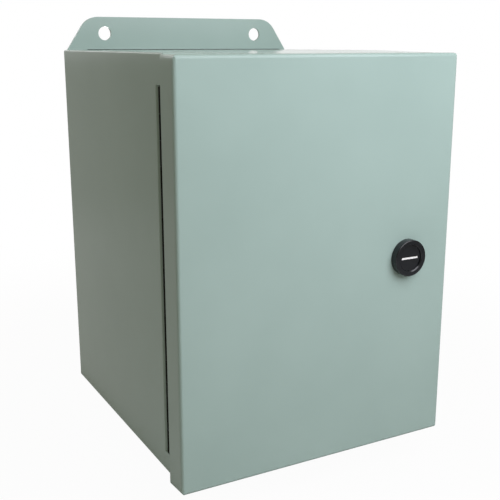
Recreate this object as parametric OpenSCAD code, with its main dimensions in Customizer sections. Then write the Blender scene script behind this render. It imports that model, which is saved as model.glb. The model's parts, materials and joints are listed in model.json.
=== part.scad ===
// Wall-mount electrical enclosure with a hinged, latched door.
// Millimetres. Origin on the wall face at the centre of the four mounting holes.
// X to the right, Y into the wall, Z up. The door faces -Y.

/* [Box] */
// Width of the box, outside
body_width = 152.4; // [140:0.1:300]
// Height of the box, outside
body_height = 203.2; // [190:0.1:400]
// Depth from the wall to the shoulder behind the door
body_depth = 150.5; // [110:0.5:250]
// Thickness of the sheet steel in the box
sheet = 1.5; // [1.2:0.1:2]
// Outside radius of the box edges that run front to back
edge_radius = 1.0; // [0.8:0.1:2]
// Outside radius of the bend into the front shoulder
shoulder_radius = 2.2; // [2:0.1:3]

/* [Back sheet and mounting flanges] */
// How far the back sheet stands in from the outside of the box
plate_inset = 0.8; // [0.5:0.1:1]
// How far each flange stands out above or below the box
flange_height = 19.05; // [16:0.05:30]
// How far each flange end stands in from the side of the box
flange_inset = 2.1; // [1.1:0.1:10]
// Slope of the flange ends from the horizontal, degrees
flange_slope = 56.3; // [45:0.1:70]
// Radius of the rounded flange corners
flange_corner = 12.7; // [8:0.1:16]
// Distance of the mounting holes from the side of the box
hole_side = 25.4; // [20:0.1:40]
// Distance of the mounting holes from the box edge
hole_offset = 9.525; // [8:0.005:14]
// Diameter of the mounting holes
hole_diameter = 7.94; // [5:0.01:9]

/* [Door] */
// Thickness of the sheet steel in the door
door_sheet = 1.5; // [1.2:0.1:2]
// Depth of the flange folded round the door
door_flange = 14.5; // [14:0.1:25]
// How far the door stands past the box at each side
door_overhang = 1.8; // [1.7:0.1:3]
// How far the top of the door sits below the top of the box
door_drop = 1.3; // [0:0.1:1.5]
// How far the bottom of the door hangs below the box
door_hang = 2.3; // [1.5:0.1:6]
// Gap between the door flange and the shoulder
door_gap = 0.4; // [0.3:0.1:1]
// Inside radius of the front bends of the door
door_fold = 0.2; // [0.2:0.1:1.5]
// Outside radius of the welded corners of the door
door_corner = 2.5; // [2.2:0.1:5]

/* [Sealing lip] */
// How far the lip stands in from the top and the bottom of the box
lip_inset_end = 5.5; // [5.3:0.1:9]
// Thickness of the seal in the door, as pressed
gasket_thick = 3.2; // [2:0.1:4]
// Width of the seal
gasket_width = 5.4; // [4:0.1:5.6]
// Gap between the lip and the pressed seal
gasket_gap = 0.3; // [0.2:0.1:0.6]

/* [Hinge] */
// Distance of the hinge ends from the ends of the door
hinge_end = 13.6; // [12:0.1:40]
// Length of one knuckle, before it is fitted to the hinge
knuckle_length = 12; // [8:0.5:20]
// Diameter of the hinge pin
pin_diameter = 2.0; // [1.6:0.1:2.2]
// Thickness of the hinge leaves
leaf_thick = 1.0; // [0.8:0.1:1.1]
// Distance of the pin behind the edge of the door flange
hinge_setback = 5.4; // [5:0.1:5.6]
// Room left past each end of the hinge
hinge_end_room = 0.8; // [0.5:0.1:2]
// Room for the hinge behind its pin
pocket_room = 2.6; // [2.5:0.1:4]

/* [Latch] */
// Distance of the latch from the right edge of the door
latch_edge = 27.5; // [26:0.1:40]
// Diameter of the latch head
latch_head = 19.2; // [19:0.1:24]
// How far the latch head stands off the door
latch_proud = 4.1; // [3.4:0.1:5]
// Diameter of the threaded barrel through the door
barrel_diameter = 15; // [14.6:0.1:16]
// Diameter of the turning head
rotor_diameter = 13.4; // [12.5:0.1:14]
// Diameter of the shaft behind the turning head
shaft_diameter = 8.6; // [8:0.1:9]
// Length of the coin slot
slot_length = 10.4; // [8:0.1:11.5]
// Width of the coin slot
slot_width = 1.1; // [1:0.1:2]
// Thickness of the cam
cam_thick = 2.0; // [1.5:0.1:2.5]
// Width of the cam tongue
cam_width = 11; // [8:0.5:12]

/* [Inner panel] */
// Room between the panel and each side wall
panel_side_room = 12.7; // [12:0.1:25]
// Room between the panel and the top or bottom wall
panel_end_room = 14.4; // [10:0.1:30]
// Thickness of the inner panel
panel_thick = 1.9; // [1.2:0.1:2.5]
// Distance of the studs from the edges of the panel
stud_edge = 8; // [7:0.1:12]
// Height of the collar that carries the panel
collar_height = 6; // [4:0.5:10]
// Diameter of the panel studs
stud_diameter = 6; // [5:0.5:6]
// Diameter of the earth studs
earth_diameter = 5; // [4:0.5:5]
// Length of the earth stud in the box
earth_length = 15; // [10:0.5:16]
// Length of the earth stud in the door
bond_length = 13; // [8:0.5:16]

/* [Hidden] */
$fn = 64;
over = 1;
half_w = body_width / 2;
half_h = body_height / 2;
hole_x = half_w - hole_side;
hole_z = half_h + hole_offset;
inside_w = half_w - sheet;
inside_h = half_h - sheet;
sheet_fold = 0.5;

// Front to back stations
shoulder_y = -body_depth;
door_rear_y = shoulder_y - door_gap;
door_front_y = door_rear_y - door_flange;
door_in_y = door_front_y + door_sheet;
gasket_rear_y = door_in_y + gasket_thick;
lip_front_y = gasket_rear_y + gasket_gap;

// Door edges
door_right = half_w + door_overhang;
door_left = -door_right;
door_top = half_h - door_drop;
door_bottom = -half_h - door_hang;
door_mid_z = (door_top + door_bottom) / 2;
door_radius = door_sheet + door_fold;

// Hinge
pin_r = pin_diameter / 2;
pin_clear = 0.05;
bore_r = pin_r + pin_clear;
knuckle_r = bore_r + leaf_thick;
pivot_x = door_left + door_sheet + knuckle_r;
pivot_y = door_rear_y + hinge_setback;
hinge_bottom = door_bottom + hinge_end;
hinge_top = door_top - hinge_end;
hinge_length = hinge_top - hinge_bottom;
knuckle_count = 2 * floor(hinge_length / knuckle_length / 2) + 1;
knuckle_pitch = hinge_length / knuckle_count;
knuckle_gap = 0.3;
roll_gap = 0.25;
leaf_cut_y = pivot_y - knuckle_r - knuckle_gap;
leaf_room = 1.6;
leaf_front_y = lip_front_y + leaf_room;

// Sealing lip and hinge pocket
lip_x = -(pivot_x + knuckle_r);
lip_z = half_h - lip_inset_end;
lip_radius = 5;
pocket_bottom = hinge_bottom - hinge_end_room;
pocket_top = hinge_top + hinge_end_room;
pocket_rear_y = pivot_y + pocket_room;
bend_r = sheet + sheet_fold;
bend_x = bend_r - half_w;
bend_y = pocket_rear_y + bend_r;
gasket_x = lip_x - sheet / 2;
gasket_z = lip_z - sheet / 2;
gasket_corner = 2;

// Latch, measured outward from the front of the door
latch_x = door_right - latch_edge;
latch_z = door_mid_z;
cam_room = 0.3;
cam_front = -(door_flange + door_gap + sheet + cam_room);
cam_rear = cam_front - cam_thick;
barrel_end = cam_front + cam_room;
barrel_r = barrel_diameter / 2;
barrel_key = 1;
barrel_flat = barrel_diameter - 2 * barrel_key;
barrel_room = 0.15;
bezel_r = latch_head / 2;
bezel_round = 0.6;
bezel_chamfer = 0.5;
rotor_r = rotor_diameter / 2;
rotor_room = 0.08;
rotor_recess = 1.0;
rotor_front = latch_proud - rotor_recess;
rotor_rear = 1.2;
recess_floor = rotor_rear - rotor_room;
recess_r = rotor_r + rotor_room;
shaft_r = shaft_diameter / 2;
shaft_room = 0.05;
slot_depth = 0.6;
slot_floor = rotor_front - slot_depth;
inlay_thick = 0.35;
cam_square = 6;
cam_square_room = 0.1;
cam_hub_r = 9.6;
cam_tip_room = 1.2;
cam_tip_r = 2;
cam_reach = inside_w - latch_x - cam_tip_room;
stop_in = 5.4;
stop_out = barrel_r;
stop_room = 0.2;
stop_angle = -135;
stop_half = 12;
stop_slack = 2;
quarter_turn = 90;
nut_thick = 4;
nut_rim = 2;
nut_across = barrel_diameter + 2 * nut_rim;
nut_chamfer = 0.5;
seal_width = 1.1;
seal_in = barrel_r + 0.4;
seal_out = seal_in + seal_width;
seal_thick = 0.8;
groove_room = 0.05;
o_ring_wire = 0.75;
o_ring_r = shaft_r - o_ring_wire - groove_room;
o_ring_z = -3;
screw_r = 2;
screw_depth = 8;
screw_hex = 7;
screw_head = 3;
cam_washer_r = 5.5;
cam_washer_thick = 1;

// Inner panel and studs
panel_x = inside_w - panel_side_room;
panel_z = inside_h - panel_end_room;
stud_x = panel_x - stud_edge;
stud_z = panel_z - stud_edge;
stud_r = stud_diameter / 2;
thread_room = 0.1;
hole_room = 0.5;
panel_corner = 3;
panel_rear_y = -sheet - collar_height;
panel_front_y = panel_rear_y - panel_thick;
washer_thick = 1.2;
washer_room = 0.3;
hex_across = 10;
hex_thick = 4.8;
collar_r = 6;
stud_spare = 2.5;
earth_r = earth_diameter / 2;
earth_x = inside_w - panel_side_room / 2;
earth_rise = 12;
earth_z = earth_rise - stud_z;
tooth_thick = 0.8;
tooth_rim = 2.5;
tooth_r = earth_r + tooth_rim;
earth_hex = 8;
earth_hex_thick = 4;
bond_side = 27;
bond_rise = 28;
bond_x = door_left + bond_side;
bond_z = door_bottom + bond_rise;

body_shell();
panel_studs();
inner_panel();
panel_washers();
panel_nuts();
earth_stud();
earth_washer();
earth_nut();
hinge_body_leaf();
hinge_pin();
hinge_door_leaf();
door_panel();
door_gasket();
bond_stud();
bond_washer();
bond_nut();
latch_housing();
latch_seal();
latch_nut();
latch_rotor();
slot_inlay();
rotor_o_ring();
latch_cam();
cam_washer();
cam_screw();

// Helpers

// Extrude a shape drawn in X and Z between two stations on Y
module along_y(y0, y1) {
    translate([0, y1, 0]) rotate([90, 0, 0]) linear_extrude(height = y1 - y0) children();
}

// Extrude a shape drawn in Z and Y between two stations on X
module along_x(x0, x1) {
    translate([x1, 0, 0]) rotate([0, -90, 0]) linear_extrude(height = x1 - x0) children();
}

// Extrude a shape drawn in X and Y between two stations on Z
module along_z(z0, z1) {
    translate([0, 0, z0]) linear_extrude(height = z1 - z0) children();
}

// Rectangle between two corners
module span(x0, y0, x1, y1) {
    translate([x0, y0]) square([x1 - x0, y1 - y0]);
}

// Rectangle with rounded corners between two corners
module round_span(x0, y0, x1, y1, r) {
    span(x0 + r, y0, x1 - r, y1);
    span(x0, y0 + r, x1, y1 - r);
    for (x = [x0 + r, x1 - r]) for (y = [y0 + r, y1 - r]) translate([x, y]) circle(r = r);
}

// Profile with the two front corners rounded, front at y0
module front_round(a0, a1, y0, y1, r) {
    span(a0, y0 + r, a1, y1);
    span(a0 + r, y0, a1 - r, y1);
    for (a = [a0 + r, a1 - r]) translate([a, y0 + r]) circle(r = r);
}

// Block with rounded front bends on all four sides and rounded corners
module folded_block(x0, x1, z0, z1, y0, y1, r, corner) {
    intersection() {
        along_z(z0, z1) front_round(x0, x1, y0, y1, r);
        along_x(x0, x1) front_round(z0, z1, y0, y1, r);
        along_y(y0, y1) round_span(x0, z0, x1, z1, corner);
    }
}

// Frame of the latch: origin on the door front, outward is +Z
module at_latch() {
    translate([latch_x, door_front_y, latch_z]) rotate([90, 0, 0]) children();
}

// Ring or disc between two heights
module ring(r_in, r_out, z0, z1) {
    translate([0, 0, z0]) linear_extrude(height = z1 - z0) difference() {
        circle(r = r_out);
        circle(r = r_in);
    }
}

// Part of a flat ring between two angles
module ring_sector(r_in, r_out, a0, a1) {
    reach = 2 * r_out;
    mid = (a0 + a1) / 2;
    intersection() {
        difference() {
            circle(r = r_out);
            circle(r = r_in);
        }
        polygon([[0, 0], reach * [cos(a0), sin(a0)], reach * [cos(mid), sin(mid)],
                 reach * [cos(a1), sin(a1)]]);
    }
}

// Hexagon with a given distance across flats
module hexagon(across) {
    circle(r = across / sqrt(3), $fn = 6);
}

// Hex nut with a plain bore and turned-down corners
module hex_nut(across, bore, z0, z1) {
    intersection() {
        translate([0, 0, z0]) linear_extrude(height = z1 - z0) difference() {
            hexagon(across);
            circle(r = bore);
        }
        translate([0, 0, z0]) rotate_extrude() polygon([
            [0, 0], [across / 2, 0], [across / sqrt(3), nut_chamfer],
            [across / sqrt(3), z1 - z0 - nut_chamfer], [across / 2, z1 - z0], [0, z1 - z0]]);
    }
}

// The four places where the inner panel is carried
module at_panel_studs() {
    for (x = [-1, 1]) for (z = [-1, 1])
        translate([x * stud_x, 0, z * stud_z]) rotate([90, 0, 0]) children();
}

// Box

// Outline of the back sheet with both mounting flanges
module back_outline() {
    run = flange_height / tan(flange_slope);
    top_z = half_h + flange_height;
    tangent = flange_corner * tan(flange_slope / 2);
    foot_x = half_w - flange_inset;
    corner_x = foot_x - run - tangent;
    corner_z = top_z - flange_corner;
    slant_x = corner_x + flange_corner * sin(flange_slope);
    slant_z = corner_z + flange_corner * cos(flange_slope);
    plate_x = half_w - plate_inset;
    plate_z = half_h - plate_inset;
    round_span(-plate_x, -plate_z, plate_x, plate_z, edge_radius);
    for (s = [-1, 1]) {
        polygon([[-foot_x, 0], [-foot_x, s * half_h], [-slant_x, s * slant_z],
                 [-corner_x, s * top_z], [corner_x, s * top_z], [slant_x, s * slant_z],
                 [foot_x, s * half_h], [foot_x, 0]]);
        for (x = [-corner_x, corner_x]) translate([x, s * corner_z]) circle(r = flange_corner);
    }
}

// Section of the pocket that clears the hinge, drawn in X and Y
module pocket_section() {
    difference() {
        span(-half_w - over, lip_front_y - over, -lip_x, bend_y);
        translate([bend_x, bend_y]) circle(r = bend_r);
        span(bend_x, pocket_rear_y, -lip_x + over, bend_y + over);
    }
}

// Section of the sheet that lines the pocket
module pocket_lining() {
    difference() {
        span(-half_w, shoulder_y + sheet / 2, -lip_x + sheet, bend_y);
        translate([bend_x, bend_y]) circle(r = sheet_fold);
        span(bend_x, pocket_rear_y + sheet, -lip_x + sheet + over, bend_y + over);
    }
}

// Folded and welded shell with the lip and the mounting flanges
module body_shell() {
    color([0.62, 0.68, 0.66]) difference() {
        union() {
            difference() {
                folded_block(-half_w, half_w, -half_h, half_h,
                             shoulder_y, -sheet, shoulder_radius, edge_radius);
                along_y(shoulder_y + sheet, over)
                    round_span(-inside_w, -inside_h, inside_w, inside_h, sheet_fold);
            }
            along_y(-sheet, 0) back_outline();
            along_y(lip_front_y, shoulder_y + sheet)
                round_span(-lip_x, -lip_z, lip_x, lip_z, lip_radius);
            along_z(pocket_bottom, pocket_top) pocket_lining();
            for (z = [pocket_bottom - sheet, pocket_top])
                along_z(z, z + sheet)
                    span(-half_w + sheet / 2, shoulder_y + sheet / 2,
                         -lip_x + sheet, pocket_rear_y + sheet);
        }
        along_y(lip_front_y - over, shoulder_y + sheet + over)
            round_span(-lip_x + sheet, -lip_z + sheet, lip_x - sheet, lip_z - sheet, lip_radius - sheet);
        along_z(pocket_bottom, pocket_top) pocket_section();
        for (x = [-1, 1]) for (z = [-1, 1])
            translate([x * hole_x, over, z * hole_z])
                rotate([90, 0, 0]) cylinder(r = hole_diameter / 2, h = sheet + 2 * over);
    }
}

// Collar studs welded to the back sheet
module panel_studs() {
    color([0.75, 0.75, 0.76]) at_panel_studs() {
        ring(0, collar_r, sheet, sheet + collar_height);
        ring(0, stud_r, sheet, -panel_front_y + washer_thick + hex_thick + stud_spare);
    }
}

// Plain sheet panel that carries the wiring parts
module inner_panel() {
    color([0.9, 0.9, 0.88]) difference() {
        along_y(panel_front_y, panel_rear_y)
            round_span(-panel_x, -panel_z, panel_x, panel_z, panel_corner);
        at_panel_studs() translate([0, 0, -panel_rear_y - over])
            cylinder(r = stud_r + hole_room, h = panel_thick + 2 * over);
    }
}

// Flat washers on the panel
module panel_washers() {
    color([0.78, 0.78, 0.8]) at_panel_studs()
        ring(stud_r + washer_room, stud_r * 2, -panel_front_y, -panel_front_y + washer_thick);
}

// Hex nuts that hold the panel
module panel_nuts() {
    base = -panel_front_y + washer_thick;
    color([0.76, 0.74, 0.66]) at_panel_studs()
        hex_nut(hex_across, stud_r + thread_room, base, base + hex_thick);
}

// Earth stud welded beside the panel
module earth_stud() {
    color([0.72, 0.56, 0.3]) translate([earth_x, 0, earth_z]) rotate([90, 0, 0])
        ring(0, earth_r, sheet, sheet + earth_length);
}

// Toothed washer on the earth stud
module earth_washer() {
    color([0.72, 0.72, 0.74]) translate([earth_x, 0, earth_z]) rotate([90, 0, 0])
        tooth_washer(sheet);
}

// Nut on the earth stud
module earth_nut() {
    color([0.72, 0.56, 0.3]) translate([earth_x, 0, earth_z]) rotate([90, 0, 0])
        hex_nut(earth_hex, earth_r + thread_room, sheet + tooth_thick, sheet + tooth_thick + earth_hex_thick);
}

// Thin washer with outside teeth
module tooth_washer(z0) {
    tooth = 1.2;
    translate([0, 0, z0]) linear_extrude(height = tooth_thick) difference() {
        union() {
            circle(r = tooth_r - tooth / 2);
            for (a = [0 : 30 : 330]) rotate(a)
                translate([tooth_r - tooth, -tooth / 2]) square([tooth, tooth]);
        }
        circle(r = earth_r + thread_room);
    }
}

// Hinge

// Section of one rolled knuckle with its tongue, pin axis at the origin, leaf towards +X
module knuckle_section(cut) {
    difference() {
        union() {
            circle(r = knuckle_r);
            span(bore_r, cut - over, knuckle_r, 0);
        }
        circle(r = bore_r);
        span(bore_r - roll_gap, -knuckle_r - over, bore_r, -bore_r / 2);
    }
}

// One leaf with every second knuckle, pin axis at the origin
module hinge_leaf(first) {
    cut = leaf_cut_y - pivot_y;
    along_z(hinge_bottom, hinge_top) span(bore_r, leaf_front_y - pivot_y, knuckle_r, cut);
    for (k = [first : 2 : knuckle_count - 1]) {
        z0 = hinge_bottom + k * knuckle_pitch + knuckle_gap / 2;
        along_z(z0, z0 + knuckle_pitch - knuckle_gap) knuckle_section(cut);
    }
}

// Leaf welded to the outside of the lip
module hinge_body_leaf() {
    color([0.08, 0.08, 0.08]) translate([pivot_x, pivot_y, 0]) hinge_leaf(1);
}

// Leaf welded inside the door flange
module hinge_door_leaf() {
    color([0.08, 0.08, 0.08]) translate([pivot_x, pivot_y, 0]) mirror([1, 0, 0]) hinge_leaf(0);
}

// Steel pin through all knuckles
module hinge_pin() {
    color([0.1, 0.1, 0.1]) translate([pivot_x, pivot_y, hinge_bottom])
        cylinder(r = pin_r, h = hinge_length);
}

// Door

// Folded pan with welded corners and the keyed latch hole
module door_panel() {
    color([0.66, 0.73, 0.71]) difference() {
        folded_block(door_left, door_right, door_bottom, door_top,
                     door_front_y, door_rear_y, door_radius, door_corner);
        folded_block(door_left + door_sheet, door_right - door_sheet,
                     door_bottom + door_sheet, door_top - door_sheet,
                     door_in_y, door_rear_y + over, door_fold, door_corner - door_sheet);
        at_latch() translate([0, 0, -door_sheet - over])
            linear_extrude(height = door_sheet + 2 * over)
                keyed_disc(barrel_r + barrel_room, barrel_flat + 2 * barrel_room);
    }
}

// Soft seal laid in the door
module door_gasket() {
    side = gasket_width / 2;
    color([0.12, 0.12, 0.12]) along_y(door_in_y, gasket_rear_y) difference() {
        round_span(-gasket_x - side, -gasket_z - side, gasket_x + side, gasket_z + side,
                   lip_radius + side - sheet / 2);
        round_span(-gasket_x + side, -gasket_z + side, gasket_x - side, gasket_z - side, gasket_corner);
    }
}

// Earth stud welded to the inside of the door
module bond_stud() {
    color([0.72, 0.56, 0.3]) at_bond() ring(0, earth_r, 0, bond_length);
}

// Toothed washer on the door stud
module bond_washer() {
    color([0.72, 0.72, 0.74]) at_bond() tooth_washer(0);
}

// Nut on the door stud
module bond_nut() {
    color([0.72, 0.56, 0.3]) at_bond()
        hex_nut(earth_hex, earth_r + thread_room, tooth_thick, tooth_thick + earth_hex_thick);
}

// Frame of the door stud: origin on the inside of the door, inward is +Z
module at_bond() {
    translate([bond_x, door_in_y, bond_z]) rotate([-90, 0, 0]) children();
}

// Latch

// Disc with two flats that keep the housing from turning
module keyed_disc(r, across) {
    intersection() {
        circle(r = r);
        translate([-r, -across / 2]) square([2 * r, across]);
    }
}

// Round head with a rounded rim, a keyed threaded barrel and a stop lug for the cam
module latch_housing() {
    color([0.08, 0.08, 0.09]) at_latch() difference() {
        union() {
            rotate_extrude() {
                span(0, 0, bezel_r, latch_proud - bezel_round);
                span(0, 0, bezel_r - bezel_round, latch_proud);
                translate([bezel_r - bezel_round, latch_proud - bezel_round]) circle(r = bezel_round);
            }
            translate([0, 0, barrel_end]) linear_extrude(height = over - barrel_end)
                keyed_disc(barrel_r, barrel_flat);
            translate([0, 0, cam_rear + cam_room])
                linear_extrude(height = barrel_end - cam_rear - cam_room + over)
                    ring_sector(stop_in + stop_room, stop_out - stop_room,
                                stop_angle - stop_half, stop_angle + stop_half);
        }
        translate([0, 0, barrel_end - over])
            cylinder(r = shaft_r + shaft_room, h = recess_floor - barrel_end + 2 * over);
        translate([0, 0, recess_floor]) cylinder(r = recess_r, h = latch_proud);
        translate([0, 0, latch_proud - bezel_chamfer])
            cylinder(r1 = recess_r, r2 = recess_r + bezel_chamfer, h = bezel_chamfer);
        translate([0, 0, -over]) difference() {
            cylinder(r = seal_out + groove_room, h = over + seal_thick + groove_room);
            cylinder(r = seal_in - groove_room, h = over + seal_thick + groove_room);
        }
    }
}

// Flat ring seal in the groove under the head
module latch_seal() {
    color([0.1, 0.1, 0.1]) at_latch() ring(seal_in, seal_out, 0, seal_thick);
}

// Large hex nut behind the door
module latch_nut() {
    color([0.7, 0.7, 0.72]) at_latch()
        hex_nut(nut_across, barrel_r + thread_room, -door_sheet - nut_thick, -door_sheet);
}

// Turning head, shaft and square end
module latch_rotor() {
    color([0.07, 0.07, 0.08]) at_latch() difference() {
        union() {
            ring(0, rotor_r, rotor_rear, rotor_front);
            ring(0, shaft_r, cam_front, rotor_rear + over);
            translate([-cam_square / 2, -cam_square / 2, cam_rear + cam_square_room])
                cube([cam_square, cam_square, cam_thick]);
        }
        translate([-slot_length / 2, -slot_width / 2, slot_floor])
            cube([slot_length, slot_width, rotor_front]);
        translate([0, 0, o_ring_z]) rotate_extrude()
            span(o_ring_r - o_ring_wire, -o_ring_wire - groove_room,
                 shaft_r + over, o_ring_wire + groove_room);
        translate([0, 0, cam_rear - over])
            cylinder(r = screw_r, h = screw_depth + over);
    }
}

// White strip at the bottom of the coin slot
module slot_inlay() {
    color([0.95, 0.95, 0.95]) at_latch()
        translate([-slot_length / 2, -slot_width / 2, slot_floor])
            cube([slot_length, slot_width, inlay_thick]);
}

// Ring that seals the shaft in the barrel
module rotor_o_ring() {
    color([0.1, 0.1, 0.1]) at_latch() translate([0, 0, o_ring_z])
        rotate_extrude() translate([o_ring_r, 0]) circle(r = o_ring_wire);
}

// Flat tongue with a stop slot, clear of the lip at rest, behind the shoulder after a quarter turn
module latch_cam() {
    color([0.74, 0.74, 0.7]) at_latch() translate([0, 0, cam_rear])
        linear_extrude(height = cam_thick) difference() {
            union() {
                circle(r = cam_hub_r);
                round_span(-cam_width / 2, 0, cam_width / 2, cam_reach, cam_tip_r);
            }
            square(cam_square + cam_square_room, center = true);
            ring_sector(stop_in, stop_out, stop_angle - stop_half - stop_slack,
                        stop_angle + stop_half + stop_slack + quarter_turn);
        }
}

// Washer under the cam screw
module cam_washer() {
    color([0.78, 0.78, 0.8]) at_latch()
        ring(screw_r + thread_room, cam_washer_r, cam_rear - cam_washer_thick, cam_rear);
}

// Hex screw that holds the cam on the shaft
module cam_screw() {
    color([0.76, 0.76, 0.78]) at_latch() {
        translate([0, 0, cam_rear - cam_washer_thick - screw_head])
            linear_extrude(height = screw_head) hexagon(screw_hex);
        ring(0, screw_r - pin_clear, cam_rear - cam_washer_thick - over, cam_rear + screw_depth - over);
    }
}
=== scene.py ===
import json
import math

import bmesh
import bpy
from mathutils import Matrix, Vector


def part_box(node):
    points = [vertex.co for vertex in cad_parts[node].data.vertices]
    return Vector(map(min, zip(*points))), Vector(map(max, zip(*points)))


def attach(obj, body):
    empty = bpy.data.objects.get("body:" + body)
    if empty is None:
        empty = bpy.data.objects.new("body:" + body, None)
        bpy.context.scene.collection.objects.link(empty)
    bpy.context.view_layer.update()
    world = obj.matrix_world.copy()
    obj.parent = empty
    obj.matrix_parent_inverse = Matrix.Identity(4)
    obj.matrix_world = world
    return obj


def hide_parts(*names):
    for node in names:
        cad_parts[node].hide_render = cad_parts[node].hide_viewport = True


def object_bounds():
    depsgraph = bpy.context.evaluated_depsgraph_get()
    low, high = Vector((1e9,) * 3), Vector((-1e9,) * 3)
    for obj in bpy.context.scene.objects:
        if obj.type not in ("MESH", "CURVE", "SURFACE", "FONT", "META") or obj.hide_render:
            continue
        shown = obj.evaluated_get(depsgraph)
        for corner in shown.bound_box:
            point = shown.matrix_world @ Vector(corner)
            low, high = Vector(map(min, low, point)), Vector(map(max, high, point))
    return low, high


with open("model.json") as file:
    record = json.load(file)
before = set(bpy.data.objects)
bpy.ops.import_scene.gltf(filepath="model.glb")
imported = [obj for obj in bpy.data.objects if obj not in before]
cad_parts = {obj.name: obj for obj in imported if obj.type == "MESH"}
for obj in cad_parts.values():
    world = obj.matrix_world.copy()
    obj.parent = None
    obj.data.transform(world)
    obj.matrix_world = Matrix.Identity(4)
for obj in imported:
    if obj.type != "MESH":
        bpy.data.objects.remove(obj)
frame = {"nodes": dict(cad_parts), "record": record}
cad_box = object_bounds()

MM = 0.001
FULL_TURN = 2 * math.pi
X_AXIS = Vector((1, 0, 0))
Y_AXIS = Vector((0, 1, 0))
Z_AXIS = Vector((0, 0, 1))
WHITE = (1.0, 1.0, 1.0, 1.0)

# Camera, in the photograph's 500 pixel frame
IMAGE_SIZE = 500
FOCAL_PIXELS = 825.0
SENSOR_WIDTH = 36.0
CAMERA_PLACE = Vector((-218.0, -489.8, 105.0)) * MM
CAMERA_YAW = math.radians(-28.56)
CAMERA_PITCH = math.radians(75.98)

# Noise: its detail, and the middle range that holds nearly all of its values
COARSE_DETAIL = 3
FINE_DETAIL = 2
NOISE_RANGE = (0.3, 0.7)

# Powder coat: clouds and orange peel
CLOUD_SIZE = 45 * MM
PEEL_SIZE = 1.1 * MM
PEEL_DEPTH = 0.02 * MM
PEEL_STRENGTH = 0.15

# Plated metal: tone and drawn lines
TONE_SIZE = 6 * MM
LINE_SIZE = 0.25 * MM
LINE_STRETCH = (1.0, 0.08, 1.0)
LINE_DEPTH = 0.01 * MM
LINE_STRENGTH = 0.3

# Foam rubber: patches and pores
PATCH_SIZE = 8 * MM
PORE_SIZE = 0.7 * MM
PORE_DEPTH = 0.15 * MM
PORE_STRENGTH = 0.6

# Moulded plastic: flow pattern and skin
FLOW_SIZE = 4 * MM
SKIN_SIZE = 0.3 * MM
SKIN_DEPTH = 0.01 * MM
SKIN_STRENGTH = 0.15

# Sheet metal of the body and the door
SHEET = 1.5 * MM
SHARP_EDGE = math.radians(30)
NEAR = 0.001 * MM

# Door pan, whose top edge and corners are finished here
DOOR_RISE = 0.5 * MM
DOOR_BEND = 1.7 * MM
DOOR_CORNER = 2.5 * MM
CORNER_REACH = 4.0 * MM

# Upper and lower door corners: squareness at the bend and at the rear edge, fullness in front
HEAD_CORNER = (0.0, 0.65, 2)
FOOT_CORNER = (0.5, 0.95, 3)

# Top sheet of the body, which falls a little towards the front, and by a share of that on the left
TOP_FALL = 0.75 * MM
TOP_FALL_LEFT = 0.25
TOP_FALL_SIDE = (-76.2 * MM, -40.0 * MM)
TOP_FALL_DEPTH = (-150.5 * MM, -100.0 * MM)
TOP_FALL_HEIGHT = (80.0 * MM, 95.0 * MM)
TOP_FALL_CUTS = 10

# Painted shade: a dark strip in the corner where the top sheet meets the rear flange, standing for
# the shadow gap there
FLANGE_HEIGHT = 19.05 * MM
PAINTED_SHADE_SIZE = 0.3 * MM
PAINTED_SHADE_SPAN = (-62.0 * MM, 70.0 * MM)

# Studs, and the collars of the panel studs
STUD_R = 3.0 * MM
STUD_PITCH = 1.0 * MM
STUD_TIP = 0.6 * MM
EARTH_R = 2.5 * MM
EARTH_PITCH = 0.8 * MM
COLLAR_R = 6.0 * MM
COLLAR_HEIGHT = 6.0 * MM
COLLAR_EDGE = 0.4 * MM
COLLAR_SEGMENTS = 40

# Rolled thread: depth as a share of the pitch, steepness of the flanks, flat on the crest
THREAD_DEPTH = 0.6
THREAD_STEEPNESS = 1.4
THREAD_CREST = 0.2
THREAD_STEPS = 8
THREAD_SEGMENTS = 32

# Door gasket: run round the door
GASKET_WIDTH = 5.4 * MM
GASKET_CORNER = 4.25 * MM
GASKET_STRAIGHT_STEPS = 48
GASKET_CORNER_STEPS = 8

# Door gasket: foot, and the crease where the lip presses
GASKET_FOOT_INSET = 0.2 * MM
GASKET_FOOT_RISE = 0.3 * MM
GASKET_GROOVE = 0.45 * MM

# Door gasket: shoulder and crease as shares of the width, drop as a share of the height
GASKET_SHOULDER = 0.32
GASKET_CREASE = 0.16
GASKET_DROP = 0.45
GASKET_CROWN_STEPS = 16

# Latch seals; the flat seal's edge is a share of its thickness
SEAL_WIDTH = 1.1 * MM
SEAL_EDGE = 0.2
RING_SEGMENTS = 64
O_RING_STEPS = 16

# Barrel thread of the latch; half a ridge's width is a share of the pitch
BARREL_R = 7.5 * MM
BARREL_KEY = 1.0 * MM
BARREL_PITCH = 1.25 * MM
BARREL_RIDGE = 0.12 * MM
BARREL_RIDGE_HALF = 0.38
BARREL_ROOT = 0.05 * MM
BARREL_RUNOUTS = 4
BARREL_ARC_STEPS = 24

# Floor: what the camera and the reflections see of it, and what the lamps see
FLOOR_SIZE = 30.0
FLOOR_NEAR = 0.965
FLOOR_FADE = (0.15, 0.45)
FLOOR_LEFT = (-0.1, -0.08)
FLOOR_MIRRORED = 0.47
FLOOR_COLOUR = (0.5, 0.5, 0.5, 1.0)
FLOOR_ROUGHNESS = 0.9

# World: where the white backdrop begins and ends in the reflections, and the light from all round
BACKDROP_FRONT = (-0.3, 0.3)
BACKDROP_TOP = (0.1, 0.4)
AMBIENT = (0.214, 0.189, 0.108, 1.0)


# Node helpers

def srgb(red, green, blue):
    """A colour as it reads in the photograph, 0 to 255, as linear values by the sRGB curve."""
    def linear(level):
        share = level / 255
        return share / 12.92 if share <= 0.04045 else ((share + 0.055) / 1.055) ** 2.4
    return (linear(red), linear(green), linear(blue), 1.0)


def new_material(name):
    material = bpy.data.materials.new(name)
    material.use_nodes = True
    tree = material.node_tree
    coords = tree.nodes.new("ShaderNodeTexCoord").outputs["Object"]
    return material, tree, tree.nodes["Principled BSDF"], coords


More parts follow.
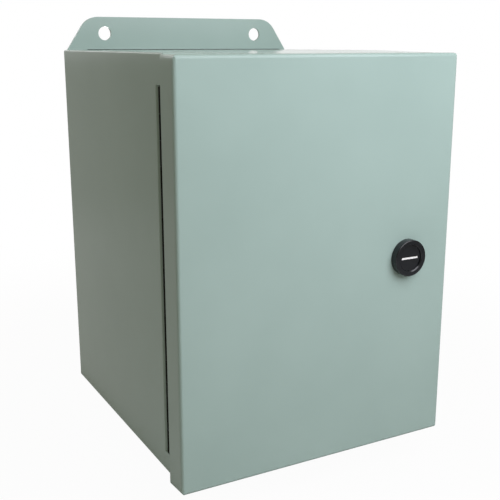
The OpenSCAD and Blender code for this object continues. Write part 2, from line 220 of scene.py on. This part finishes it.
def stretched(tree, coords, scale):
    mapping = tree.nodes.new("ShaderNodeMapping")
    mapping.inputs["Scale"].default_value = scale
    tree.links.new(coords, mapping.inputs["Vector"])
    return mapping.outputs["Vector"]


def noise(tree, coords, size, detail):
    """Soft noise whose blotches are about size metres wide."""
    node = tree.nodes.new("ShaderNodeTexNoise")
    node.inputs["Scale"].default_value = 1 / size
    node.inputs["Detail"].default_value = detail
    tree.links.new(coords, node.inputs["Vector"])
    return node.outputs["Fac"]


def pores(tree, coords, size):
    node = tree.nodes.new("ShaderNodeTexVoronoi")
    node.inputs["Scale"].default_value = 1 / size
    tree.links.new(coords, node.inputs["Vector"])
    return node.outputs["Distance"]


def ranged(tree, value, source, target, interpolation="LINEAR"):
    """A value carried from one (start, end) range to another, and held at both ends."""
    node = tree.nodes.new("ShaderNodeMapRange")
    node.interpolation_type = interpolation
    for socket, level in zip(("From Min", "From Max", "To Min", "To Max"), source + target):
        node.inputs[socket].default_value = level
    tree.links.new(value, node.inputs["Value"])
    return node.outputs["Result"]


def tint(tree, value, first, second):
    """A colour that goes from first to second over the range of a noise."""
    node = tree.nodes.new("ShaderNodeValToRGB")
    for element, place, colour in zip(node.color_ramp.elements, NOISE_RANGE, (first, second)):
        element.position = place
        element.color = colour
    tree.links.new(value, node.inputs["Fac"])
    return node.outputs["Color"]


def relief(tree, height, depth, strength):
    node = tree.nodes.new("ShaderNodeBump")
    node.inputs["Distance"].default_value = depth
    node.inputs["Strength"].default_value = strength
    tree.links.new(height, node.inputs["Height"])
    return node.outputs["Normal"]


def combined(tree, operation, first, second):
    node = tree.nodes.new("ShaderNodeMath")
    node.operation = operation
    tree.links.new(first, node.inputs[0])
    tree.links.new(second, node.inputs[1])
    return node.outputs[0]


def component(tree, vector, axis):
    node = tree.nodes.new("ShaderNodeSeparateXYZ")
    tree.links.new(vector, node.inputs["Vector"])
    return node.outputs[axis]


def show_mix(tree, share, first, second, output):
    """Mixes two shaders, by the share of the second, into the tree's output node."""
    mix = tree.nodes.new("ShaderNodeMixShader")
    tree.links.new(share, mix.inputs["Fac"])
    tree.links.new(first.outputs[0], mix.inputs[1])
    tree.links.new(second.outputs[0], mix.inputs[2])
    tree.links.new(mix.outputs[0], tree.nodes[output].inputs["Surface"])


# Surface patterns: each gives a noise for the tone, a noise for the roughness, and the relief

def powder_coat(tree, coords):
    """Baked paint: an even colour with faint clouds and a fine orange peel."""
    clouds = noise(tree, coords, CLOUD_SIZE, COARSE_DETAIL)
    peel = noise(tree, coords, PEEL_SIZE, FINE_DETAIL)
    return clouds, clouds, relief(tree, peel, PEEL_DEPTH, PEEL_STRENGTH)


def plated_metal(tree, coords):
    """Bright metal with fine drawn lines and a slightly uneven tone."""
    tone = noise(tree, coords, TONE_SIZE, COARSE_DETAIL)
    lines = noise(tree, stretched(tree, coords, LINE_STRETCH), LINE_SIZE, FINE_DETAIL)
    return tone, lines, relief(tree, lines, LINE_DEPTH, LINE_STRENGTH)


def foam_rubber(tree, coords):
    """Matt black foam with open pores."""
    patches = noise(tree, coords, PATCH_SIZE, COARSE_DETAIL)
    cells = pores(tree, coords, PORE_SIZE)
    return patches, cells, relief(tree, cells, PORE_DEPTH, PORE_STRENGTH)


def moulded_plastic(tree, coords):
    """Moulded plastic with a faint flow pattern and a fine skin."""
    flow = noise(tree, coords, FLOW_SIZE, COARSE_DETAIL)
    skin = noise(tree, coords, SKIN_SIZE, FINE_DETAIL)
    return flow, flow, relief(tree, skin, SKIN_DEPTH, SKIN_STRENGTH)


# Materials, one for each slot of the record

def new_finish(name, pattern, first, second, roughness, specular, metallic):
    """A material with its pattern, two tones and range of roughness."""
    material, tree, bsdf, coords = new_material(name)
    tone, grain, normal = pattern(tree, coords)
    bsdf.inputs["Specular IOR Level"].default_value = specular
    bsdf.inputs["Metallic"].default_value = metallic
    tree.links.new(tint(tree, tone, srgb(*first), srgb(*second)), bsdf.inputs["Base Color"])
    tree.links.new(ranged(tree, grain, NOISE_RANGE, roughness), bsdf.inputs["Roughness"])
    tree.links.new(normal, bsdf.inputs["Normal"])
    return material


# Finish of each slot: pattern, two tones, range of roughness, specular level, metallic share
FINISHES = {
    "grey_paint": (powder_coat, (158, 180, 174), (162, 184, 178), (0.11, 0.15), 0.22, 0.0),
    "white_paint": (powder_coat, (224, 224, 220), (230, 230, 226), (0.36, 0.44), 0.4, 0.0),
    "zinc_steel": (plated_metal, (196, 198, 202), (212, 213, 214), (0.28, 0.42), 0.5, 1.0),
    "bright_steel": (plated_metal, (205, 206, 208), (220, 221, 222), (0.2, 0.3), 0.5, 1.0),
    # black_steel: the hinge's own black finish, made matt and nearly unreflecting as painted
    # shade, so the slit beside the door's hinge edge reads black
    "black_steel": (powder_coat, (14, 14, 14), (20, 20, 20), (0.8, 0.9), 0.05, 0.0),
    "brass": (plated_metal, (214, 178, 104), (224, 192, 122), (0.24, 0.36), 0.5, 1.0),
    "seal_rubber": (foam_rubber, (36, 36, 37), (52, 52, 53), (0.8, 0.95), 0.25, 0.0),
    "black_plastic": (moulded_plastic, (18, 21, 26), (22, 25, 30), (0.2, 0.26), 0.5, 0.0),
    "white_fill": (moulded_plastic, (249, 249, 249), (253, 253, 253), (0.45, 0.55), 0.4, 0.0),
}
MATERIALS = {slot: new_finish(slot, *finish) for slot, finish in FINISHES.items()}


def dress(obj, slot):
    obj.data.materials.clear()
    obj.data.materials.append(MATERIALS[slot])


# Object and mesh helpers

def new_object(name, data):
    obj = bpy.data.objects.new(name, data)
    bpy.context.collection.objects.link(obj)
    return obj


def new_mesh(name, mesh_data):
    mesh = bpy.data.meshes.new(name)
    mesh_data.to_mesh(mesh)
    mesh_data.free()
    return mesh


def new_piece(name, mesh_data, body, slot, *nodes):
    """A finished bmesh as a piece that rides on a body, and stands for the named nodes."""
    bmesh.ops.recalc_face_normals(mesh_data, faces=mesh_data.faces)
    mesh = new_mesh(name, mesh_data)
    for polygon in mesh.polygons:
        polygon.use_smooth = True
    piece = new_object(name, mesh)
    dress(piece, slot)
    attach(piece, body)
    if nodes:
        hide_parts(*nodes)
    return piece


def held(value):
    """A value kept between 0 and 1."""
    return min(1.0, max(0.0, value))


def eased(value, start, end):
    """0 at start and 1 at end, with a soft way between."""
    share = held((value - start) / (end - start))
    return share * share * (3 - 2 * share)


def skin_rows(mesh_data, rows, closed=False):
    """Faces between rows of vertices, each row a loop; closed joins the last row to the first."""
    pairs = list(zip(rows, rows[1:]))
    if closed:
        pairs.append((rows[-1], rows[0]))
    for low, high in pairs:
        count = len(low)
        for i in range(count):
            j = (i + 1) % count
            mesh_data.faces.new((low[i], low[j], high[j], high[i]))


def add_capped(mesh_data, rows):
    """A closed solid from rows of vertices, capped at both ends."""
    skin_rows(mesh_data, rows)
    mesh_data.faces.new(rows[0])
    mesh_data.faces.new(rows[-1])


def turned_rows(mesh_data, centre, way, profile, segments, cut=None):
    """Rows of vertices round a Y axis through centre, from (along, radius) points."""
    rows = []
    for along, radius in profile:
        row = []
        for k in range(segments):
            angle = FULL_TURN * k / segments
            depth = cut(along, angle) if cut else 0.0
            across = radius - depth
            offset = Vector((across * math.cos(angle), way * along, across * math.sin(angle)))
            row.append(mesh_data.verts.new(centre + offset))
        rows.append(row)
    return rows


def add_ring(mesh_data, centre, section):
    """A closed ring round a Y axis, from a closed (along, radius) section."""
    rows = turned_rows(mesh_data, centre, 1, section, RING_SEGMENTS)
    skin_rows(mesh_data, rows, closed=True)


def add_threaded_stud(mesh_data, centre, way, radius, pitch, start, length):
    """A stud with a rolled thread from start to its chamfered tip."""
    depth = THREAD_DEPTH * pitch
    step = pitch / THREAD_STEPS

    def groove(along, angle):
        phase = (along / pitch - angle / FULL_TURN) % 1.0
        valley = 1.0 - abs(2.0 * phase - 1.0)
        fade = held((along - start) / pitch)
        return depth * fade * held(THREAD_STEEPNESS * valley - THREAD_CREST)

    count = int((length - STUD_TIP) / step)
    profile = [(k * step, radius) for k in range(count + 1)]
    profile.append((length - STUD_TIP, radius))
    profile.append((length, radius - STUD_TIP - depth / 2))
    add_capped(mesh_data, turned_rows(mesh_data, centre, way, profile, THREAD_SEGMENTS, groove))


# Sheet metal, cut up from the frame's own meshes

def welded_node(name):
    mesh_data = bmesh.new()
    mesh_data.from_mesh(frame["nodes"][name].data)
    bmesh.ops.remove_doubles(mesh_data, verts=mesh_data.verts, dist=NEAR)
    return mesh_data


def cut_all(mesh_data, place, axis):
    geometry = mesh_data.verts[:] + mesh_data.edges[:] + mesh_data.faces[:]
    bmesh.ops.bisect_plane(mesh_data, geom=geometry, plane_co=place, plane_no=axis)


def cut_strips(mesh_data, start, end, axis):
    """Even cuts across an axis, from start to end."""
    for k in range(1, TOP_FALL_CUTS + 1):
        cut_all(mesh_data, (start + (end - start) * k / TOP_FALL_CUTS) * axis, axis)


def sheet_piece(name, mesh_data, body, node):
    """A painted sheet piece with flat faces, smooth bends and sharp cut edges."""
    piece = new_piece(name, mesh_data, body, "grey_paint", node)
    piece.data.attributes.remove(piece.data.attributes["custom_normal"])
    piece.data.set_sharp_from_angle(angle=SHARP_EDGE)
    piece.modifiers.new("flat_faces", "WEIGHTED_NORMAL").keep_sharp = True


# Door pan with ground corners

def ground_corner(place, low, high):
    """A point of the door pan, with ball-round corners in front and squarer ones behind."""
    side = 1 if place.x > 0 else -1
    end = 1 if place.z > (low.z + high.z) / 2 else -1
    depth = place.y - low.y
    from_side = high.x - side * place.x
    from_end = high.z - place.z if end > 0 else place.z - low.z
    outer_skin = depth < SHEET - NEAR or min(from_side, from_end) < SHEET / 2
    at_bend, at_rear, fullness = HEAD_CORNER if end > 0 else FOOT_CORNER
    across = DOOR_CORNER - from_side
    along = DOOR_CORNER - from_end
    if across > 0 and along > 0:
        behind = depth > high.y - low.y - NEAR
        squared = at_rear if behind else at_bend * min(1.0, depth / DOOR_BEND)
        stretch = 1 + squared * (math.hypot(across, along) / max(across, along) - 1)
        from_side = DOOR_CORNER - stretch * across
        from_end = DOOR_CORNER - stretch * along
    if outer_skin and depth < DOOR_BEND and max(from_side, from_end) < DOOR_BEND:
        reach = (DOOR_BEND - from_side) ** fullness + (DOOR_BEND - from_end) ** fullness
        depth = DOOR_BEND - math.sqrt(max(0.0, DOOR_BEND ** 2 - reach ** (2 / fullness)))
    rise = DOOR_RISE if end > 0 and from_end < DOOR_CORNER + NEAR else 0.0
    level = high.z - from_end if end > 0 else low.z + from_end
    return Vector((side * (high.x - from_side), low.y + depth, level + rise))


def add_door_panel():
    """The door pan of the frame, cut into short strips near its corners and finished there."""
    low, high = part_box("door_panel")
    mesh_data = welded_node("door_panel")
    for axis in (X_AXIS, Z_AXIS):
        for place in (low + CORNER_REACH * axis, high - CORNER_REACH * axis):
            cut_all(mesh_data, place, axis)
    for vert in mesh_data.verts:
        vert.co = ground_corner(vert.co, low, high)
    sheet_piece("door_panel_ground", mesh_data, "door", "door_panel")


# Body, and a dark strip of painted shade along the foot of its top flange

def add_body_shell():
    """The body of the frame, with its top sheet bent down a little towards the front."""
    mesh_data = welded_node("body_shell")
    front, back = TOP_FALL_DEPTH
    left, right = TOP_FALL_SIDE
    cut_strips(mesh_data, front, back, Y_AXIS)
    cut_strips(mesh_data, left, right, X_AXIS)
    for level in TOP_FALL_HEIGHT:
        cut_all(mesh_data, level * Z_AXIS, Z_AXIS)
    for vert in mesh_data.verts:
        share = TOP_FALL_LEFT + (1 - TOP_FALL_LEFT) * eased(vert.co.x, left, right)
        share *= eased(vert.co.z, *TOP_FALL_HEIGHT) * (1 - eased(vert.co.y, front, back))
        vert.co.z -= TOP_FALL * share
    sheet_piece("body_shell_formed", mesh_data, "box", "body_shell")


def add_painted_shade_strip():
    """A thin three-sided dark strip of painted shade, in the dark rubber finish, in the corner
    between the top sheet and the flange.
    """
    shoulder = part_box("body_shell")[1].z - FLANGE_HEIGHT
    sheet_front = -SHEET
    mesh_data = bmesh.new()
    rows = []
    for x in PAINTED_SHADE_SPAN:
        corners = (
            (x, sheet_front, shoulder),
            (x, sheet_front - PAINTED_SHADE_SIZE, shoulder),
            (x, sheet_front, shoulder + PAINTED_SHADE_SIZE),
        )
        rows.append([mesh_data.verts.new(corner) for corner in corners])
    add_capped(mesh_data, rows)
    # The dark rubber finish on this strip is painted shade, not a real seal
    new_piece("painted_shade_strip", mesh_data, "box", "seal_rubber")


# Studs with rolled threads

def add_panel_studs():
    low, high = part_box("panel_studs")
    mesh_data = bmesh.new()
    length = high.y - low.y
    collar = [
        (0.0, COLLAR_R),
        (COLLAR_HEIGHT - COLLAR_EDGE, COLLAR_R),
        (COLLAR_HEIGHT, COLLAR_R - COLLAR_EDGE),
    ]
    for x in (low.x + COLLAR_R, high.x - COLLAR_R):
        for z in (low.z + COLLAR_R, high.z - COLLAR_R):
            foot = Vector((x, high.y, z))
            add_capped(mesh_data, turned_rows(mesh_data, foot, -1, collar, COLLAR_SEGMENTS))
            add_threaded_stud(mesh_data, foot, -1, STUD_R, STUD_PITCH, COLLAR_HEIGHT, length)
    new_piece("panel_studs_threaded", mesh_data, "box", "zinc_steel", "panel_studs")


def add_single_stud(node, body, way):
    """A welded brass stud; way is +1 or -1 along Y, from its foot to its tip."""
    low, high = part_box(node)
    middle = (low + high) / 2
    foot = Vector((middle.x, low.y if way > 0 else high.y, middle.z))
    length = high.y - low.y
    mesh_data = bmesh.new()
    add_threaded_stud(mesh_data, foot, way, EARTH_R, EARTH_PITCH, 2 * EARTH_PITCH, length)
    new_piece(node + "_threaded", mesh_data, body, "brass", node)


# Foam gasket in the door

def rounded_path(half_x, half_z, radius):
    """Points and outward directions round a rectangle with round corners."""
    points = []
    for quarter, (sign_x, sign_z) in enumerate(((1, 1), (-1, 1), (-1, -1), (1, -1))):
        middle = Vector((sign_x * (half_x - radius), 0, sign_z * (half_z - radius)))
        for k in range(GASKET_CORNER_STEPS + 1):
            angle = 0.5 * math.pi * (quarter + k / GASKET_CORNER_STEPS)
            out = Vector((math.cos(angle), 0, math.sin(angle)))
            points.append((middle + radius * out, out))
    path = []
    for i, (here, out) in enumerate(points):
        there, out_there = points[(i + 1) % len(points)]
        corner_ends = i % (GASKET_CORNER_STEPS + 1) == GASKET_CORNER_STEPS
        steps = GASKET_STRAIGHT_STEPS if corner_ends else 1
        for k in range(steps):
            between = out.lerp(out_there, k / steps).normalized()
            path.append((here.lerp(there, k / steps), between))
    return path


def gasket_section(width, height):
    """Foam section as (across, rise): flat foot, round shoulders, crease where the lip presses."""
    half = width / 2
    shoulder = GASKET_SHOULDER * width
    points = [
        (-half + GASKET_FOOT_INSET, 0.0),
        (half - GASKET_FOOT_INSET, 0.0),
        (half, GASKET_FOOT_RISE),
    ]
    for k in range(GASKET_CROWN_STEPS + 1):
        across = half - width * k / GASKET_CROWN_STEPS
        edge = max(0.0, (abs(across) - (half - shoulder)) / shoulder)
        drop = height * GASKET_DROP * (1 - math.sqrt(max(0.0, 1 - edge * edge)))
        crease = GASKET_GROOVE * math.exp(-(across / (GASKET_CREASE * width)) ** 2)
        points.append((across, height - drop - crease))
    points.append((-half, GASKET_FOOT_RISE))
    return points


def add_gasket():
    low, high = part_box("door_gasket")
    middle = (low + high) / 2
    half_x = (high.x - low.x - GASKET_WIDTH) / 2
    half_z = (high.z - low.z - GASKET_WIDTH) / 2
    section = gasket_section(GASKET_WIDTH, high.y - low.y)
    mesh_data = bmesh.new()
    rows = []
    for place, out in rounded_path(half_x, half_z, GASKET_CORNER):
        foot = Vector((middle.x, low.y, middle.z)) + place
        row = []
        for across, rise in section:
            row.append(mesh_data.verts.new(foot + across * out + rise * Y_AXIS))
        rows.append(row)
    skin_rows(mesh_data, rows, closed=True)
    new_piece("gasket_foam", mesh_data, "door", "seal_rubber", "door_gasket")


# Latch seals and barrel thread

def add_latch_seal():
    """Flat seal with a raised bead along its middle, under the latch head."""
    low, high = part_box("latch_seal")
    middle = (low + high) / 2
    outer = (high.x - low.x) / 2
    inner = outer - SEAL_WIDTH
    thick = high.y - low.y
    edge = SEAL_EDGE * thick
    section = [
        (edge, inner),
        (0.0, inner + edge),
        (0.0, outer - edge),
        (edge, outer),
        (thick - edge, outer),
        (thick - edge, outer - edge),
        (thick, (inner + outer) / 2),
        (thick - edge, inner + edge),
        (thick - edge, inner),
    ]
    mesh_data = bmesh.new()
    add_ring(mesh_data, Vector((middle.x, low.y, middle.z)), section)
    new_piece("latch_seal_ring", mesh_data, "door", "seal_rubber", "latch_seal")


def add_o_ring():
    low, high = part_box("rotor_o_ring")
    middle = (low + high) / 2
    wire = (high.y - low.y) / 2
    ring_r = (high.x - low.x) / 2 - wire
    section = []
    for k in range(O_RING_STEPS):
        angle = FULL_TURN * k / O_RING_STEPS
        section.append((wire * math.sin(angle), ring_r + wire * math.cos(angle)))
    mesh_data = bmesh.new()
    add_ring(mesh_data, middle, section)
    new_piece("rotor_o_ring_round", mesh_data, "latch", "seal_rubber", "rotor_o_ring")


def add_barrel_thread():
    """Low thread ridges on the two round sides of the keyed barrel, behind the door."""
    barrel_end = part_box("latch_cam")[0].y
    rotor_low, rotor_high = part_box("latch_rotor")
    middle = (rotor_low + rotor_high) / 2
    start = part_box("latch_nut")[1].y
    turns = int((barrel_end - start - BARREL_PITCH) / BARREL_PITCH)
    flat_half = math.acos((BARREL_R - BARREL_KEY) / BARREL_R)
    span = math.pi - 2 * flat_half
    half = BARREL_RIDGE_HALF * BARREL_PITCH
    mesh_data = bmesh.new()

    def ridge_row(turn, side, k):
        """The three points of a ridge's section, k steps along its arc."""
        swept = span * k / BARREL_ARC_STEPS
        angle = side * math.pi + flat_half - math.pi / 2 + swept
        along = start + BARREL_PITCH * (turn + (side * math.pi + swept) / FULL_TURN)
        out = Vector((math.cos(angle), 0, math.sin(angle)))
        axis_point = Vector((middle.x, along, middle.z))
        taper = held(BARREL_RUNOUTS * min(k, BARREL_ARC_STEPS - k) / BARREL_ARC_STEPS)
        section = ((-half, -BARREL_ROOT), (0.0, BARREL_RIDGE * taper), (half, -BARREL_ROOT))
        row = []
        for shift, rise in section:
            point = axis_point + (BARREL_R + rise) * out + shift * Y_AXIS
            row.append(mesh_data.verts.new(point))
        return row

    for side in (0, 1):
        for turn in range(turns):
            add_capped(mesh_data, [ridge_row(turn, side, k) for k in range(BARREL_ARC_STEPS + 1)])
    new_piece("barrel_thread", mesh_data, "door", "black_plastic")


add_door_panel()
add_body_shell()
add_painted_shade_strip()
add_panel_studs()
add_single_stud("earth_stud", "box", -1)
add_single_stud("bond_stud", "door", 1)
add_gasket()
add_latch_seal()
add_o_ring()
add_barrel_thread()


# CAD nodes, finished as the record says

for part in frame["record"]["subparts"]:
    dress(frame["nodes"][part["node"]], part["material_slot"])


# Camera, light and stage

def add_camera():
    data = bpy.data.cameras.new("camera")
    data.sensor_width = SENSOR_WIDTH
    data.lens = FOCAL_PIXELS * SENSOR_WIDTH / IMAGE_SIZE
    camera = new_object("camera", data)
    camera.location = CAMERA_PLACE
    camera.rotation_euler = (CAMERA_PITCH, 0.0, CAMERA_YAW)
    bpy.context.scene.camera = camera


def seen_white(tree, mirrored_share):
    """1 for rays from the camera, a share for mirrored rays, and 0 for light on the object."""
    path = tree.nodes.new("ShaderNodeLightPath")
    mirrored = combined(tree, "MULTIPLY", path.outputs["Is Glossy Ray"], mirrored_share)
    return combined(tree, "MAXIMUM", path.outputs["Is Camera Ray"], mirrored)


def add_world():
    """Light from all round, and white for the camera and for low reflections from behind."""
    world = bpy.data.worlds.new("world")
    world.use_nodes = True
    bpy.context.scene.world = world
    tree = world.node_tree
    ambient = tree.nodes["Background"]
    ambient.inputs["Color"].default_value = AMBIENT
    white = tree.nodes.new("ShaderNodeBackground")
    white.inputs["Color"].default_value = WHITE
    direction = tree.nodes.new("ShaderNodeTexCoord").outputs["Generated"]
    inward = component(tree, direction, "Y")
    upward = component(tree, direction, "Z")
    behind = ranged(tree, inward, BACKDROP_FRONT, (0.0, 1.0), "SMOOTHSTEP")
    below_top = ranged(tree, upward, BACKDROP_TOP, (1.0, 0.0), "SMOOTHSTEP")
    backdrop = combined(tree, "MULTIPLY", behind, below_top)
    show_mix(tree, seen_white(tree, backdrop), ambient, white, "World Output")


def add_floor():
    """A floor that is white to the camera, less so near the object, and grey to the lamps."""
    mesh_data = bmesh.new()
    bmesh.ops.create_grid(mesh_data, x_segments=1, y_segments=1, size=FLOOR_SIZE / 2)
    floor = new_object("floor", new_mesh("floor", mesh_data))
    floor.location.z = cad_box[0].z
    material, tree, bsdf, coords = new_material("floor")
    bsdf.inputs["Base Color"].default_value = FLOOR_COLOUR
    bsdf.inputs["Roughness"].default_value = FLOOR_ROUGHNESS
    glow = tree.nodes.new("ShaderNodeEmission")
    glow.inputs["Color"].default_value = WHITE
    away = tree.nodes.new("ShaderNodeVectorMath")
    away.operation = "LENGTH"
    tree.links.new(coords, away.inputs[0])
    near_to_white = (FLOOR_NEAR, 1.0)
    whiteness = ranged(tree, away.outputs["Value"], FLOOR_FADE, near_to_white, "SMOOTHSTEP")
    sideways = component(tree, coords, "X")
    beside = ranged(tree, sideways, FLOOR_LEFT, (FLOOR_MIRRORED, 0.0), "SMOOTHSTEP")
    seen = seen_white(tree, beside)
    show_mix(tree, combined(tree, "MULTIPLY", seen, whiteness), bsdf, glow, "Material Output")
    floor.data.materials.append(material)


def add_softbox(name, place, target, size, power, colour):
    """A square lamp that the camera does not see; lengths in metres, power in watts."""
    data = bpy.data.lights.new(name, "AREA")
    data.shape = "SQUARE"
    data.size = size
    data.energy = power
    data.color = colour
    lamp = new_object(name, data)
    lamp.location = place
    lamp.rotation_euler = (Vector(target) - Vector(place)).to_track_quat("-Z", "Y").to_euler()
    lamp.visible_camera = False


add_camera()
add_world()
add_floor()
add_softbox(
    "key_light", place=(0.10, -0.46, 0.28), target=(0.0, -0.17, 0.0),
    size=0.42, power=2.56, colour=(0.92, 0.92, 1.0),
)
add_softbox(
    "rim_light", place=(-0.25, 0.45, 0.45), target=(0.0, -0.05, 0.10),
    size=0.50, power=1.4, colour=(0.93, 0.95, 1.0),
)
add_softbox(
    "back_fill", place=(0.10, 0.60, -0.03), target=(0.0, 0.0, -0.03),
    size=0.26, power=1.5, colour=(1.0, 1.0, 1.0),
)

bpy.context.scene.view_settings.view_transform = "Standard"
